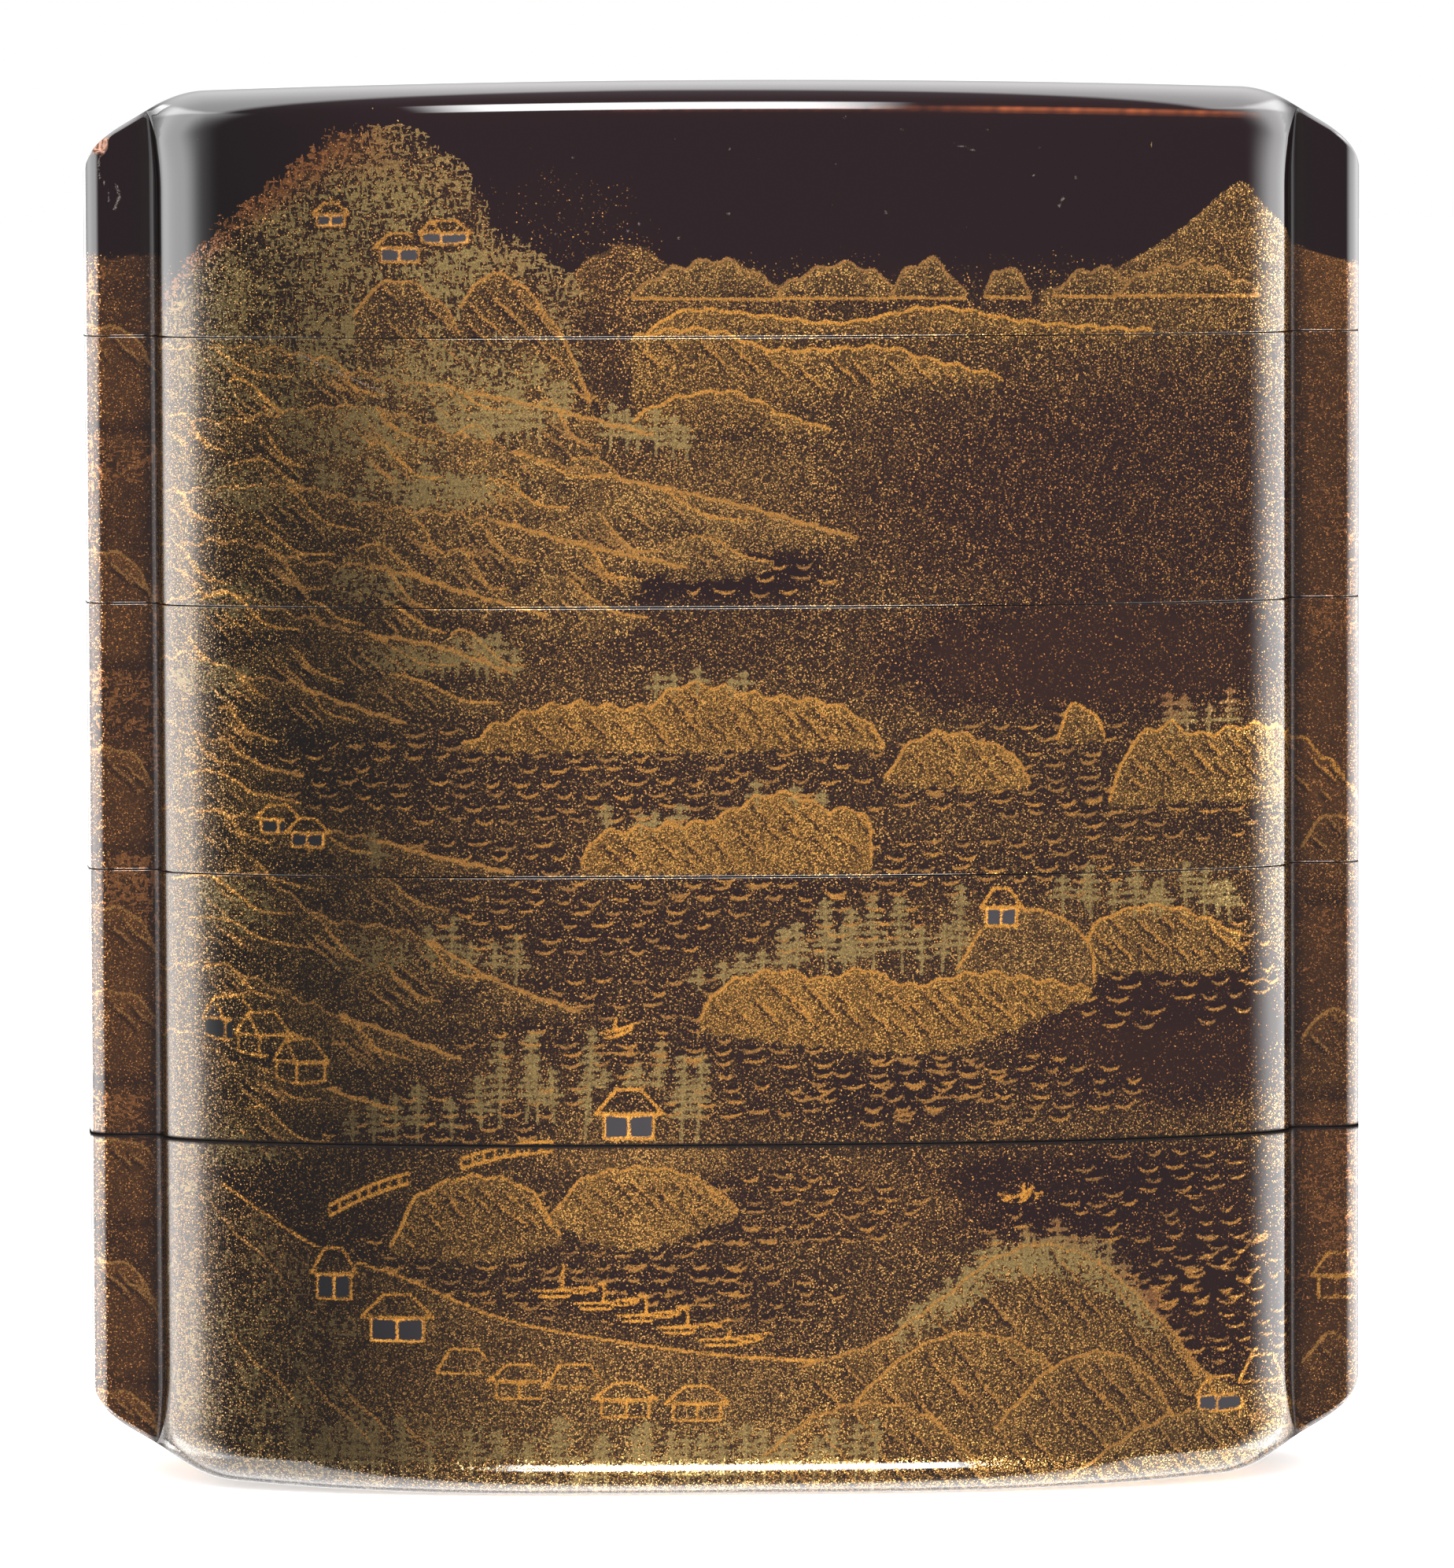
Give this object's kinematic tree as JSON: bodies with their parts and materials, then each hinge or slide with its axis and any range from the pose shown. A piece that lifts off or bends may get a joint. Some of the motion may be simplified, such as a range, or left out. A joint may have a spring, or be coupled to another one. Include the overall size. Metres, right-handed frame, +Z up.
{
  "type": "inro case",
  "caption": "Small tiered case with crowned panels and set-back side flanges; lid and cases nest by thin risers, dark lacquer with gold-powder landscape.",
  "frame": {"origin": "middle of the underside, where the case stands", "axes": "+Z up through the tiers, front panel faces -Y, +X towards the right-hand flange seen from the front"},
  "size_m": [0.0684, 0.026, 0.075],
  "materials": {
    "gold_on_dark_lacquer": "wood core under polished brown-black lacquer, with a flush landscape in gold powder outside and plain dark lacquer inside"
  },
  "bodies": {
    "root": {"lid": "gold_on_dark_lacquer", "upper_case": "gold_on_dark_lacquer", "middle_case": "gold_on_dark_lacquer", "lower_case": "gold_on_dark_lacquer", "bottom_case": "gold_on_dark_lacquer"}
  },
  "joints": []
}
